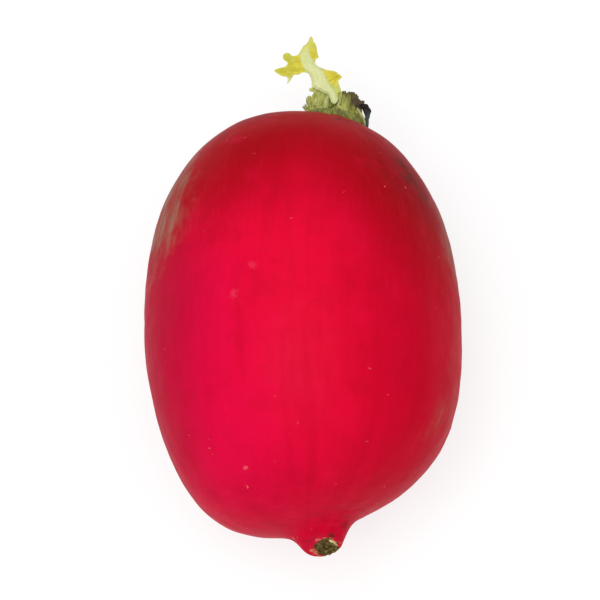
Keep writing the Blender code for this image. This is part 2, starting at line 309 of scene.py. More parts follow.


# %% [markdown]
# ## The skin
# Radish skin is thin and waxy over white flesh, so it glows a little. It is darkest red towards the crown,
# partly its own colour and partly painted shade, crimson in the middle, pinker on the left flank and darker
# on both flanks by painted shade. It is rubbed brown in places, and by the rims that brown and grey is
# partly painted reflection. The cut at the tail is dry brown cork, and the mesh says where it is, so one
# finish holds both.
#
# This radish also has single marks of its own, and three dark patches along the upper-left rim by the crown
# that are painted shade. Several of their places, and probably most, were found by casting rays from spots
# in the photograph onto the root. Their radii, strengths and colours were chosen.

# %% List the marks, the rubbed places and the painted rim reflection
# Middle, radius, strength and colour of the single marks and of the patches of painted shade
SKIN_MARKS_AND_RIM_SHADE = [
    ((5.1, 22.1, 33.2), 0.65, 0.9, (62, 18, 22)),
    ((6.2, 21.6, 33.4), 0.5, 0.8, (74, 20, 22)),
    ((14.0, 15.2, 33.2), 1.7, 0.65, (80, 24, 16)),
    ((14.9, 12.6, 34.0), 2.0, 0.55, (88, 26, 16)),
    ((16.6, 10.2, 32.8), 1.4, 0.5, (100, 32, 22)),
    ((15.5, 12.5, 32.5), 3.5, 0.35, (100, 32, 20)),
    ((20.5, 3.9, 29.3), 1.0, 0.7, (132, 88, 60)),
    ((20.1, 6.4, 29.6), 0.8, 0.6, (120, 66, 50)),
    ((5.7, -34.5, 25.4), 0.9, 0.6, (122, 24, 30)),
    ((5.9, -33.3, 26.3), 0.7, 0.5, (130, 34, 36)),
    ((-1.3, -36.1, 23.9), 0.5, 0.6, (206, 128, 110)),
    ((0.6, -36.4, 25.0), 0.6, 0.4, (140, 10, 30)),
    ((1.2, -37.6, 22.8), 0.35, 0.7, (206, 140, 104)),
    ((2.1, -36.7, 25.1), 0.5, 0.6, (226, 150, 128)),
    ((3.9, -36.2, 25.7), 0.7, 0.8, (74, 34, 24)),
    ((-9.2, -6.8, 42.5), 0.8, 0.2, (226, 92, 116)),
    ((-6.8, -2.9, 43.3), 0.6, 0.18, (230, 84, 112)),
    ((-9.2, 17.6, 36.6), 1.3, 0.35, (200, 20, 62)),
    # These three dark patches along the upper-left rim by the crown are painted shade.
    ((-5.6, 22.4, 32.6), 1.8, 0.45, (112, 8, 24)),
    ((-8.4, 21.5, 32.4), 1.7, 0.45, (114, 8, 26)),
    ((-11.4, 19.9, 32.2), 1.4, 0.35, (118, 8, 30)),
    ((-7.5, -31.0, 34.0), 0.4, 0.5, (232, 150, 140)),
    ((-7.7, -28.8, 36.0), 0.35, 0.4, (226, 120, 120)),
    ((14.1, 10.8, 36.0), 0.25, 0.5, (214, 90, 96)),
]
# Middle, half size and strength of the places where the skin is rubbed and corky, and where a grey-brown
# band of painted reflection lies along the rims
RUBBED_AND_RIM_SHEEN = [
    # The first two, by the rims of the upper-left and right flanks, are partly rubbed skin and partly
    # painted reflection.
    ((-19.6, 10.5, 30.5), (6.0, 11.0, 7.0), 1.0),
    ((20.5, 5.5, 27.5), (5.0, 8.0, 5.0), 0.55),
    ((17.5, -18.5, 28.5), (6.0, 7.0, 5.0), 0.35),
    ((-17.0, -19.0, 20.0), (6.0, 8.0, 5.0), 0.4),
    ((9.0, 9.0, 3.5), (7.0, 9.0, 5.0), 0.35),
]
print("single marks:", len(SKIN_MARKS_AND_RIM_SHADE), "rubbed places:", len(RUBBED_AND_RIM_SHEEN))

# %% [markdown]
# Every layer of the skin is laid by noise. Patches use round noise. Streaks and fibres run from crown to
# tail, so theirs is drawn out along the root, and read by the turn round it to keep them equally wide
# everywhere.

# %% Lay out the patterns of the skin


def distance(tree, parts, middle):
    """How far a point lies from a fixed middle."""
    steps = [part - value for part, value in zip(parts, middle)]
    return (steps[0] * steps[0] + steps[1] * steps[1] + steps[2] * steps[2]).maths("SQRT")


def skin_patterns(tree, x, y, z):
    """The noises that the skin's layers share."""
    place = as_vector(tree, x, y, z)
    up = z - BODY_MIDDLE.z
    girth = (x * x + up * up).maths("SQRT") + 0.01
    turn = (x / girth, up / girth)

    def drawn_out(around, along, detail, roughness=0.5):
        stretched = as_vector(tree, turn[0] * around, y * along, turn[1] * around)
        return cloud(tree, stretched, 1.0, detail, roughness)

    return SimpleNamespace(
        place=place,
        drift=cloud(tree, place, 0.07, 3) - 0.5,
        mottle=cloud(tree, place, 0.22, 4, 0.6),
        blotches=cloud(tree, place, 0.55, 3, 0.6),
        grain=cloud(tree, place, 3.2, 2, 0.6),
        bands=drawn_out(5, 0.03, 2),
        scuffs=drawn_out(9, 0.12, 4, 0.7),
        streaks=drawn_out(20, 0.1, 3, 0.65),
        fibres=drawn_out(55, 0.4, 3, 0.65),
    )


# %% [markdown]
# The layers go on from broad to fine, as a painter would lay them: the ground colours, the streaks, the
# wear with the painted reflection along the rims, and last the single marks and the two ends.

# %% Mix the layers of the skin


def ground_colours(tree, x, y, z, pattern):
    """Crimson, pinker on the left, with painted shade on both flanks, a darker crown that is partly its own
    colour and partly painted shade, and darker patches with painted highlights near the tail.
    """
    drift = pattern.drift
    aside = x.maths("ABSOLUTE")
    left = (x * -1 + y * -0.4 + drift * 14).fade(0, 24)
    colour = mix(tree, left * 0.8, paint(218, 8, 49), paint(211, 6, 63))
    # Painted shade: the right flank darker.
    colour = mix(tree, (x + drift * 12).fade(-1, 18) * 0.85, colour, paint(182, 3, 33))
    # Painted shade: the left flank darker towards its rim.
    colour = mix(tree, (x * -1 + drift * 4).fade(10, 21) * 0.75, colour, paint(166, 6, 42))
    # Darker towards the crown: partly the root's own colour, partly painted shade.
    colour = mix(tree, (y + drift * 10 + aside * 0.5 + x * 0.12).fade(1, 20), colour, paint(160, 5, 17))
    shoulder = distance(tree, (x, y * 0.7 - 9.5, z), (15.5, 0, 33)) + drift * 8
    colour = mix(tree, shoulder.fade(10, 2) * 0.6, colour, paint(122, 4, 12))
    colour = mix(tree, (y - x * 0.3 + drift * 9).fade(-23, -36) * 0.6, colour, paint(180, 5, 38))
    # Near the tail the skin has darker patches, and pinker patches that are painted highlights.
    tail_patches_and_glints = cloud(tree, as_vector(tree, x * 0.35, y * 1.1, z * 0.35), 1.0, 3, 0.65)
    near_tail = (y + drift * 6).fade(-27, -34)
    colour = mix(tree, near_tail * tail_patches_and_glints.fade(0.48, 0.7) * 0.2, colour, paint(140, 10, 28))
    return mix(tree, near_tail * tail_patches_and_glints.fade(0.46, 0.3) * 0.16, colour, paint(226, 40, 84))


def streaked(tree, x, y, pattern, colour):
    """Lays on the mottling, and the bands, streaks and fibres that run from crown to tail."""
    drift, mottle, streaks, fibres = pattern.drift, pattern.mottle, pattern.streaks, pattern.fibres
    colour = mix(tree, mottle.fade(0.5, 0.72) * 0.22, colour, paint(166, 6, 30))
    colour = mix(tree, mottle.fade(0.46, 0.25) * 0.16, colour, paint(236, 8, 70))
    colour = mix(tree, pattern.blotches.fade(0.52, 0.7) * 0.1, colour, paint(170, 8, 30))
    colour = mix(tree, pattern.bands.fade(0.5, 0.68) * 0.25, colour, paint(172, 3, 28))
    colour = mix(tree, streaks.fade(0.5, 0.72) * drift.fade(-0.25, 0.25) * 0.14, colour, paint(150, 4, 26))
    colour = mix(tree, streaks.fade(0.45, 0.3) * 0.08, colour, paint(232, 16, 66))
    fibrous = (y + drift * 10).fade(-12, 14) * (x.maths("ABSOLUTE").fade(3, 17) * 0.85 + 0.15)
    colour = mix(tree, fibres.fade(0.5, 0.68) * fibrous * 0.24, colour, paint(128, 8, 20))
    colour = mix(tree, fibres.fade(0.46, 0.32) * fibrous * 0.1, colour, paint(226, 52, 66))
    return mix(tree, pattern.grain.fade(0.6, 0.8) * 0.06, colour, paint(240, 60, 90))


def rubbed_and_rim_sheen(tree, x, y, z, pattern, colour):
    """Lays on the rubbed places, whose grey-brown along the rims is painted reflection, and the bruises on
    both sides.
    """
    scuffs = pattern.scuffs
    for middle, half, amount in RUBBED_AND_RIM_SHEEN:
        scaled = [part / size for part, size in zip((x, y, z), half)]
        away = distance(tree, scaled, [value / size for value, size in zip(middle, half)])
        worn = (away + (scuffs - 0.5) * 1.3 + (pattern.mottle - 0.5) * 2).fade(1.15, 0.35)
        worn = worn * scuffs.fade(0.3, 0.58) * amount
        # Brown and grey over the rubbed places; by the rims this is painted reflection.
        colour = mix(tree, worn * 0.62, colour, paint(138, 88, 70))
        colour = mix(tree, worn * pattern.streaks.fade(0.46, 0.64) * 0.5, colour, paint(148, 128, 104))
    bruises = cloud(tree, as_vector(tree, x * 0.9, y * 0.5, z * 0.9), 1.0, 3, 0.6)
    on_sides = x.maths("ABSOLUTE").fade(9, 18)
    return mix(tree, bruises.fade(0.68, 0.78) * on_sides * 0.6, colour, paint(96, 40, 34))


def marked(tree, x, y, z, pattern, colour):
    """Lays on the single marks and the three patches of painted shade by the crown, all with broken rims.
    """
    for middle, radius, amount, shade in SKIN_MARKS_AND_RIM_SHADE:
        broken = (pattern.blotches - 0.5) * radius * 2.4 + (pattern.grain - 0.5) * radius * 2.4
        away = distance(tree, (x, y, z), middle) + broken
        colour = mix(tree, away.fade(radius, radius * 0.3) * amount, colour, paint(*shade))
    return colour


def skin_ends(tree, x, y, z, pattern, colour):
    """Lays on the brown ring round the crown and the cork of the cut, and says how much of it is cork."""
    place = pattern.place
    crown_ring = distance(tree, (x, y * 2 - 25.2, z), (4.6, 25.2, 22)) + (pattern.scuffs - 0.5) * 4
    colour = mix(tree, crown_ring.fade(8.0, 4.9) * 0.85, colour, paint(104, 74, 40))
    scar = read_mark(tree, "tail_cut") + (cloud(tree, place, 1.1, 3) - 0.5) * 0.4
    frayed = scar.hump(-0.02, 0.1) * cloud(tree, place, 0.8).fade(0.45, 0.6)
    colour = mix(tree, frayed, colour, paint(196, 110, 84))
    cut = scar.fade(0.0, 0.15)
    cork = mix(tree, cloud(tree, place, 1.6, 4, 0.7).fade(0.4, 0.6), paint(62, 50, 22), paint(112, 98, 58))
    cork = mix(tree, cloud(tree, place, 3.0, 2, 0.7).fade(0.6, 0.7), cork, paint(160, 136, 92))
    return mix(tree, cut, colour, cork), cut


def skin_finish():
    """The skin with all its layers, and its shine and relief."""
    material, tree, shader, (x, y, z) = new_finish("radish_skin")
    pattern = skin_patterns(tree, x, y, z)
    colour = ground_colours(tree, x, y, z, pattern)
    colour = streaked(tree, x, y, pattern, colour)
    colour = rubbed_and_rim_sheen(tree, x, y, z, pattern, colour)
    colour = marked(tree, x, y, z, pattern, colour)
    colour, cut = skin_ends(tree, x, y, z, pattern, colour)
    plug(tree, shader.inputs["Base Color"], colour)
    plug(tree, shader.inputs["Roughness"], pattern.mottle * 0.18 + pattern.grain * 0.1 + 0.3 + cut * 0.4)
    shader.inputs["Specular IOR Level"].default_value = 0.02
    glow_within(shader, 0.1, (1.0, 0.2, 0.2), 1.0)
    cracks = cut * cloud(tree, pattern.place, 3.5, 4, 0.7) * 4
    relief(tree, shader, pattern.streaks * 0.5 + pattern.grain * 0.35 + cracks, 0.05)
    return material


skin = skin_finish()
print("skin nodes:", len(skin.node_tree.nodes))

# %% [markdown]
# ## The root, by a rule
# The root is an egg whose two halves have their own length and fullness. Each end leans a little to one
# side, and a short stub stands on the tail. That is a rule, so a Geometry Nodes tree makes it: the tree
# takes a sphere of directions, works out how far the skin lies in each, and moves every point there. Two
# soft stops then flatten the tail's cut and the belly. The sizes are the tree's inputs. The egg's
# lengths, fullness and skews were fitted to the outline in the photograph and then adjusted.

# %% Define the helpers for trees


def new_form(name, sizes, takes_mesh=False):
    """A geometry tree with a named input for each size, and wires that read them."""
    tree = bpy.data.node_groups.new(name, "GeometryNodeTree")
    tree.interface.new_socket("Geometry", in_out="OUTPUT", socket_type="NodeSocketGeometry")
    if takes_mesh:
        tree.interface.new_socket("Geometry", in_out="INPUT", socket_type="NodeSocketGeometry")
    for label, value in sizes.items():
        kind = "NodeSocketInt" if isinstance(value, int) else "NodeSocketFloat"
        tree.interface.new_socket(label, in_out="INPUT", socket_type=kind).default_value = value
    inputs = tree.nodes.new("NodeGroupInput")
    return tree, inputs, {label: Wire(tree, inputs.outputs[label]) for label in sizes}


def end_form(tree, shape, material):
    """Makes instances real, gives them their finish and sends them out."""
    real = tree.nodes.new("GeometryNodeRealizeInstances")
    finish = tree.nodes.new("GeometryNodeSetMaterial")
    finish.inputs["Material"].default_value = material
    output = tree.nodes.new("NodeGroupOutput")
    tree.links.new(shape, real.inputs[0])
    tree.links.new(real.outputs[0], finish.inputs["Geometry"])
    tree.links.new(finish.outputs[0], output.inputs[0])


def grow(name, tree, sizes, base=None):
    """Runs a geometry tree with these sizes, and keeps what it makes as a plain mesh in metres."""
    piece = bpy.data.objects.new(name, base or bpy.data.meshes.new(name))
    bpy.context.scene.collection.objects.link(piece)
    maker = piece.modifiers.new("form", "NODES")
    maker.node_group = tree
    for socket in tree.interface.items_tree:
        if socket.in_out == "INPUT" and socket.name in sizes:
            maker[socket.identifier] = sizes[socket.name]
    graph = bpy.context.evaluated_depsgraph_get()
    mesh = bpy.data.meshes.new_from_object(piece.evaluated_get(graph), depsgraph=graph)
    piece.modifiers.clear()
    piece.data = mesh
    mesh.transform(Matrix.Scale(MM, 4))
    print(name, "has", len(mesh.polygons), "faces")
    return piece


# %% [markdown]
# The sphere's directions go through three steps: the smooth egg, the relief of its two ends, and the cut.

# %% Grow the root
# The cut lies this much deeper than the solid's, to leave room for its rough cork
CORK_DEPTH = 0.45
SCAR_HALF_WIDTH = 1.85
SCAR_HALF_HEIGHT = 2.2
SCAR_UP = Vector((0, 0.4, 0.92))
ROOT_SIZES = {
    "Half width": HALF_WIDTH,
    "Crown length": CROWN_LENGTH,
    "Tail length": TAIL_LENGTH,
    "Crown fullness": 2.3,
    "Tail fullness": 2.35,
    "Crown lean": CROWN_LEAN,
    "Tail lean": TAIL_LEAN,
    "Shoulder skew": 0.018,
    "Heel skew": 0.049,
    "Lump": 0.006,
    "Dents": 0.28,
    "Stub height": 3.7,
    "Stub angle": 0.1,
    "Stub edge": 2.6,
    "Flare height": 1.35,
    "Flare angle": 0.155,
    "Segments": 260,
    "Rings": 250,
}


def egg(size, position):
    """Where each direction of the sphere points, and how far the smooth skin lies that way."""
    sx, sy, sz = position.parts()
    turn = sy.maths("ARCTAN2", sx)
    even = sz.maths("ARCCOSINE")
    from_crown = even - (even * 2).maths("SINE") * 0.25
    down = from_crown.maths("COSINE")
    ring = from_crown.maths("SINE")
    crown_half = down.maths("GREATER_THAN", 0.0)
    lean = crown_half * (size["Crown lean"] - size["Tail lean"]) + size["Tail lean"]
    raw = [ring * turn.maths("COSINE") + lean * down * down, down, ring * turn.maths("SINE")]
    length = (raw[0] * raw[0] + raw[1] * raw[1] + raw[2] * raw[2]).maths("SQRT")
    way = [part / length for part in raw]
    side = (way[0] * way[0] + way[2] * way[2]).maths("SQRT")
    leaning = way[0] / (side + 1e-6)
    rise = way[1].maths("ABSOLUTE")
    opening = side.maths("ARCTAN2", rise)
    half = crown_half * (size["Crown length"] - size["Tail length"]) + size["Tail length"]
    full = crown_half * (size["Crown fullness"] - size["Tail fullness"]) + size["Tail fullness"]
    shoulder = size["Shoulder skew"] * (opening * 2).maths("SINE")
    heel = size["Heel skew"] * (opening * 4).maths("SINE") * opening.maths("COSINE") ** 2.0
    skew = crown_half * (shoulder - heel) + heel
    reach = ((side / size["Half width"]) ** full + (rise / half) ** full) ** (full ** -1.0 * -1)
    lumps = size["Lump"] * side * side * (turn * 3).maths("SINE")
    return way, reach * (skew * leaning * -1 + lumps + 1)


def with_ends(tree, size, way, compass, reach):
    """Adds the stub and its flare, low dents, creases at the tail and a rough ridge round the crown."""
    from_stub = along_way(way, TAIL_AXIS).maths("ARCCOSINE")
    stub = ((from_stub / size["Stub angle"]) ** size["Stub edge"] * -1).maths("EXPONENT")
    flare = from_stub.hump(0, size["Flare angle"])
    reach = reach + size["Stub height"] * stub + size["Flare height"] * flare
    dents = cloud(tree, compass, 2.6, 2) - 0.5
    fine = cloud(tree, compass, 11, 3) - 0.5
    reach = reach + dents * size["Dents"] * 2 + fine * 0.1
    creases = cloud(tree, as_vector(tree, way[0] * 2, way[1] * 30, way[2] * 2), 1.6, 3) - 0.5
    reach = reach + creases * 0.5 * from_stub.hump(0.21, 0.09)
    from_pole = along_way(way, CROWN_AXIS).maths("ARCCOSINE")
    return reach + (fine * 1.5 + 0.2) * from_pole.hump(0.185, 0.025)


def cut_tail(tree, point, compass):
    """Slides what stands past the tail's cut back onto it, and says how far inside the scar a point is."""
    slope = CUT_FACE.dot(TAIL_AXIS)
    beyond = along_way(point, CUT_FACE) - slope * (TAIL_CUT_AT - CORK_DEPTH)
    from_scar = [part - middle for part, middle in zip(point, SCAR_MIDDLE - BODY_MIDDLE)]
    scar_right = along_way(from_scar, Vector((1, 0, 0))) / SCAR_HALF_WIDTH
    scar_up = along_way(from_scar, SCAR_UP) / SCAR_HALF_HEIGHT
    ragged = (cloud(tree, compass, 45, 3, 0.6) - 0.5) * 0.8
    scar = (scar_right * scar_right + scar_up * scar_up).maths("SQRT") * -1 + 1 + ragged
    scar = scar + along_way(point, TAIL_AXIS).fade(31.5, 31) * -3
    bark = (cloud(tree, compass, 70, 3, 0.7) - 0.62) * scar.fade(-0.1, 0.3) * 1.1
    slide = beyond.maths("SMOOTH_MAX", 0.0, 0.5) / slope - bark
    return [part - slide * toward for part, toward in zip(point, TAIL_AXIS)], scar


def root_form():
    """The tree that turns a sphere of directions into the root."""
    tree, _, size = new_form("root_form", ROOT_SIZES)
    sphere = tree.nodes.new("GeometryNodeMeshUVSphere")
    plug(tree, sphere.inputs["Segments"], size["Segments"])
    plug(tree, sphere.inputs["Rings"], size["Rings"])
    way, reach = egg(size, Wire(tree, tree.nodes.new("GeometryNodeInputPosition").outputs[0]))
    compass = as_vector(tree, *way)
    reach = with_ends(tree, size, way, compass, reach)
    point, scar = cut_tail(tree, [part * reach for part in way], compass)
    point = [part + shift for part, shift in zip(point, BODY_MIDDLE)]
    point[2] = point[2].maths("SMOOTH_MAX", 0.0, 0.2)
    mark = tree.nodes.new("GeometryNodeStoreNamedAttribute")
    mark.data_type = "FLOAT"
    mark.domain = "POINT"
    mark.inputs["Name"].default_value = "tail_cut"
    plug(tree, mark.inputs["Value"], scar)
    move = tree.nodes.new("GeometryNodeSetPosition")
    plug(tree, move.inputs["Position"], as_vector(tree, *point))
    flip = tree.nodes.new("GeometryNodeFlipFaces")
    smooth = tree.nodes.new("GeometryNodeSetShadeSmooth")
    tree.links.new(sphere.outputs["Mesh"], mark.inputs["Geometry"])
    tree.links.new(mark.outputs[0], move.inputs["Geometry"])
    tree.links.new(move.outputs[0], flip.inputs[0])
    tree.links.new(flip.outputs[0], smooth.inputs[0])
    end_form(tree, smooth.outputs[0], skin)
    return tree


radish_root = grow("radish_root", root_form(), ROOT_SIZES)
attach(radish_root, "root")
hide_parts("root")
print("root from", [round(value, 4) for value in radish_root.bound_box[0]])

# %% [markdown]
# ## Flecks on the skin
# Radish skin carries tiny pale dashes where fine roots came through, mostly lying across the root. They
# repeat over the whole surface, so a tree scatters them with a fixed seed and presses each flat into the
# skin.

# %% Scatter the flecks


def fleck_finish():
    """Pale red, lighter in places, and dull."""
    material, tree, shader, (x, y, z) = new_finish("skin_fleck")
    tint = cloud(tree, as_vector(tree, x, y, z), 0.6, 2)
    colour = mix(tree, tint.fade(0.4, 0.6), paint(192, 30, 50), paint(214, 68, 82))
    plug(tree, shader.inputs["Base Color"], colour)
    shader.inputs["Roughness"].default_value = 0.6
    shader.inputs["Specular IOR Level"].default_value = 0.1
    return material


FLECK_SIZES = {"Density": 0.02, "Length": 0.2, "Width": 0.055, "Height": 0.025, "Seed": 11}


def fleck_form():
    """The tree that scatters flecks over the skin."""
    tree, inputs, size = new_form("fleck_form", FLECK_SIZES, takes_mesh=True)
    scatter = tree.nodes.new("GeometryNodeDistributePointsOnFaces")
    plug(tree, scatter.inputs["Density"], size["Density"])
    plug(tree, scatter.inputs["Seed"], size["Seed"])
    fleck = tree.nodes.new("GeometryNodeMeshIcoSphere")
    fleck.inputs["Subdivisions"].default_value = 2
    flat = tree.nodes.new("GeometryNodeTransform")
    plug(tree, flat.inputs["Scale"], as_vector(tree, size["Length"], size["Width"], size["Height"]))
    grows = tree.nodes.new("FunctionNodeRandomValue")
    grows.inputs[2].default_value = 0.35
    grows.inputs[3].default_value = 1.5
    scale = Wire(tree, grows.outputs[1])
    upright = tree.nodes.new("FunctionNodeAlignRotationToVector")
    plug(tree, upright.inputs["Vector"], Wire(tree, scatter.outputs["Normal"]))
    around = tree.nodes.new("FunctionNodeAlignRotationToVector")
    around.axis = "X"
    around.pivot_axis = "Z"
    plug(tree, around.inputs["Rotation"], Wire(tree, upright.outputs[0]))
    wander = tree.nodes.new("FunctionNodeRandomValue")
    wander.data_type = "FLOAT_VECTOR"
    wander.inputs[0].default_value = (-1.0, -0.6, -1.0)
    wander.inputs[1].default_value = (1.0, 0.6, 1.0)
    plug(tree, around.inputs["Vector"], Wire(tree, wander.outputs[0]))
    instance = tree.nodes.new("GeometryNodeInstanceOnPoints")
    plug(tree, instance.inputs["Scale"], as_vector(tree, scale, scale, scale))
    plug(tree, instance.inputs["Rotation"], Wire(tree, around.outputs[0]))
    tree.links.new(inputs.outputs["Geometry"], scatter.inputs["Mesh"])
    tree.links.new(scatter.outputs["Points"], instance.inputs["Points"])
    tree.links.new(fleck.outputs["Mesh"], flat.inputs["Geometry"])
    tree.links.new(flat.outputs[0], instance.inputs["Instance"])
    end_form(tree, instance.outputs[0], fleck_finish())
    return tree


def in_millimetres(piece):
    """A copy of a piece's mesh, blown up to millimetres for a tree to work on."""
    mesh = piece.data.copy()
    mesh.transform(Matrix.Scale(1 / MM, 4))
    return mesh


skin_flecks = grow("skin_flecks", fleck_form(), FLECK_SIZES, in_millimetres(radish_root))
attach(skin_flecks, "root")

# %% [markdown]
# ## Plant tissue as sweeps
# Shreds, the withered stalk and the tiny leaves of the bud are all flat or round bodies that follow a
# curve. One helper sweeps a lens-shaped outline along the curve, waves its edges and crinkles it with
# noise. It also writes two marks at every point, how far along the blade it is and how far across, for
# the leaf finish to draw veins with.

# %% Define the sweep


def curve_point(a, b, c, d, t):
    """The point a share t of the way from b to c, on a smooth curve that comes from a and goes on to d."""
    bend = 2 * a - 5 * b + 4 * c - d
    twist = 3 * b - a - 3 * c + d
    return b + 0.5 * t * (c - a) + 0.5 * t * t * bend + 0.5 * t**3 * twist


def smooth_path(knots, count):
    """count + 1 points on a smooth curve that runs through the knots."""
    knots = [Vector(knot) for knot in knots]
    ends = [2 * knots[0] - knots[1], *knots, 2 * knots[-1] - knots[-2]]
    points = []
    for step in range(count + 1):
        place = step / count * (len(knots) - 1)
        i = min(int(place), len(knots) - 2)
        points.append(curve_point(*ends[i : i + 4], place - i))
    return points


def between(values, share):
    """Reads a short list of values as a line of straight pieces, share running from 0 to 1."""
    place = share * (len(values) - 1)
    i = min(int(place), len(values) - 2)
    return values[i] + (values[i + 1] - values[i]) * (place - i)


def ripple(*place):
    """Smooth noise from about -1 to 1 at a point."""
    return noise.noise(Vector(place))


def join_rings(bm, rings):
    """Skins neighbouring rings of vertices with four-sided faces, and closes both ends."""
    for low, high in zip(rings, rings[1:]):
        for i in range(len(low)):
            j = (i + 1) % len(low)
            bm.faces.new((low[i], low[j], high[j], high[i]))
    bm.faces.new(rings[0][::-1])
    bm.faces.new(rings[-1])


def blade(
    bm,
    knots,
    widths,
    thickness,
    facing,
    seed,
    wave=0.12,
    crinkle=0.10,
    cup=0.0,
    steps=36,
    sides=24,
    point_of=crown_point,
):
    """A strip swept along its knots, which are in the crown's frame unless told otherwise."""
    along_mark = bm.verts.layers.float.get("along") or bm.verts.layers.float.new("along")
    across_mark = bm.verts.layers.float.get("across") or bm.verts.layers.float.new("across")
    path = smooth_path([point_of(*knot) for knot in knots], steps)
    to_face = (CROWN_RIGHT * facing[0] + CROWN_AXIS * facing[1] + CROWN_FRONT * facing[2]).normalized()
    rings = []
    for i, point in enumerate(path):
        onward = (path[min(i + 1, steps)] - path[max(i - 1, 0)]).normalized()
        across = onward.cross(to_face).normalized()
        normal = across.cross(onward)
        share = i / steps
        half = between(thickness, share) / 2
        ring = []
        for s in range(sides):
            angle = 2 * math.pi * s / sides
            out = math.cos(angle)
            reach = between(widths, share)
            reach *= 1 + wave * ripple(seed, share * 9, 1 if out > 0 else 4)
            thin = 1 - 0.45 * out * out
            swell = crinkle * ripple(share * 7 + seed, out * 2.5, seed) * (0.25 + abs(out))
            lift = cup * out * out * reach
            offset = across * reach * out + normal * (half * thin * math.sin(angle) + swell + lift)
            vert = bm.verts.new(point + offset)
            vert[along_mark] = share
            vert[across_mark] = out
            ring.append(vert)
        rings.append(ring)
    join_rings(bm, rings)


def finished(name, bm, material, node):
    """Turns a bmesh into a piece in metres that rides on the root and stands for a node."""
    bmesh.ops.recalc_face_normals(bm, faces=bm.faces[:])
    mesh = bpy.data.meshes.new(name)
    bm.to_mesh(mesh)
    bm.free()
    mesh.transform(Matrix.Scale(MM, 4))
    mesh.shade_smooth()
    mesh.materials.append(material)
    piece = bpy.data.objects.new(name, mesh)
    bpy.context.scene.collection.objects.link(piece)
    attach(piece, "root")
    if node:
        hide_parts(node)
    print(name, "has", len(mesh.polygons), "faces")
    return piece


# %% [markdown]
# ## The flake at the tail
# Where the tail was cut, a strip of its dry bark has curled off at the right. It is one short blade that
# bends round the cut's edge, a hair above it. Its knots were found as the places of the skin's marks
# were, by casting rays from spots in the photograph.

# %% Build the flake


def tail_point(right, behind, up):
    """A point given from the middle of the tail's cut."""
    return SCAR_MIDDLE + Vector((right, -behind, up))


def flake_finish():
    """Dry fibrous bark."""
    material, tree, shader, (x, y, z) = new_finish("tail_flake")
    fibre = cloud(tree, as_vector(tree, x * 3, y * 3, z * 3), 1.0, 3)
    colour = mix(tree, fibre.fade(0.4, 0.6), paint(150, 122, 74), paint(214, 190, 138))
    plug(tree, shader.inputs["Base Color"], colour)
    shader.inputs["Roughness"].default_value = 0.8
    shader.inputs["Specular IOR Level"].default_value = 0.15
    relief(tree, shader, fibre, 0.05)
    return material


FLAKE_KNOTS = [
    (0.1, -1.35, 1.85),
    (0.49, -1.08, 1.65),
    (0.91, -0.95, 1.43),
    (1.19, -0.72, 0.9),
    (1.48, -0.62, 0.1),
]
flake = bmesh.new()
blade(
    flake,
    FLAKE_KNOTS,
    widths=[0.1, 0.2, 0.22, 0.2, 0.08],
    thickness=[0.15, 0.18, 0.2, 0.18, 0.12],
    facing=(0, -0.6, 1),
    seed=17,
    wave=0.3,
    crinkle=0.05,
    steps=24,
    sides=12,
    point_of=tail_point,
)
tail_flake = finished("tail_flake", flake, flake_finish(), None)

# %% [markdown]
# ## The cut stalks
# The leaves were twisted off, so the crown keeps a low fleshy collar with two whorls of ragged stubs.
# They are ribbed strips, light green where they tore freshly and brown where they have dried. The finish
# turns brown or paler by marks that each stub carries, duller inside the cut, and dark olive low down,
# which is painted shade at the stubs' feet and over the collar.

# %% Mix the stalk finish


def stalk_finish():
    """Ribbed green tissue that turns brown or pale by the marks of the mesh, with painted shade low down.
    """
    material, tree, shader, (x, y, z) = new_finish("cut_stalk")
    place = as_vector(tree, x, y, z)
    rows = cloud(tree, as_vector(tree, x * 4, y * 0.8, z * 4), 1.0, 3, 0.6)
    patches = cloud(tree, place, 0.9, 3)
    colour = mix(tree, rows.fade(0.38, 0.6), paint(128, 130, 48), paint(176, 184, 92))
    colour = mix(tree, patches.fade(0.5, 0.7) * 0.6, colour, paint(192, 194, 100))
    colour = mix(tree, read_mark(tree, "pale") * 0.7, colour, paint(196, 198, 142))
    colour = mix(tree, read_mark(tree, "inside") * 0.5, colour, paint(150, 138, 80))
    # Painted shade: dark olive at the stubs' feet and over the collar, where the low mark is high.
    painted_low_shade = mix(tree, rows.fade(0.4, 0.6), paint(70, 72, 40), paint(116, 116, 48))
    colour = mix(tree, read_mark(tree, "low") * 0.9, colour, painted_low_shade)
    dry = (read_mark(tree, "dry") + (patches - 0.5) * 0.8).fade(0.3, 0.7)
    worn = rows.fade(0.45, 0.75) * 0.5 + patches.fade(0.4, 0.65) * 0.5
    brown = mix(tree, worn, paint(66, 52, 38), paint(108, 96, 50))
    colour = mix(tree, dry, colour, brown)
    plug(tree, shader.inputs["Base Color"], colour)
    plug(tree, shader.inputs["Roughness"], rows * 0.2 + 0.5)
    shader.inputs["Specular IOR Level"].default_value = 0.25
    glow_within(shader, 0.1, (0.6, 0.6, 0.2), 0.5)
    relief(tree, shader, rows + cloud(tree, place, 6, 3) * 0.4, 0.09)
    return material


cut_stalk = stalk_finish()

# %% [markdown]
# Each stub is one closed sweep up the crown's axis. Its rim is torn by noise, and three more rings close
# the cut and sink it.

# %% Build the collar and the stubs
STUB_THICKNESS = 1.25
STUB_SIDES = 44
STUB_LEVELS = 14
STUB_FOOT = 0.6
OUTER_RADIUS = 3.15
INNER_RADIUS = 1.95
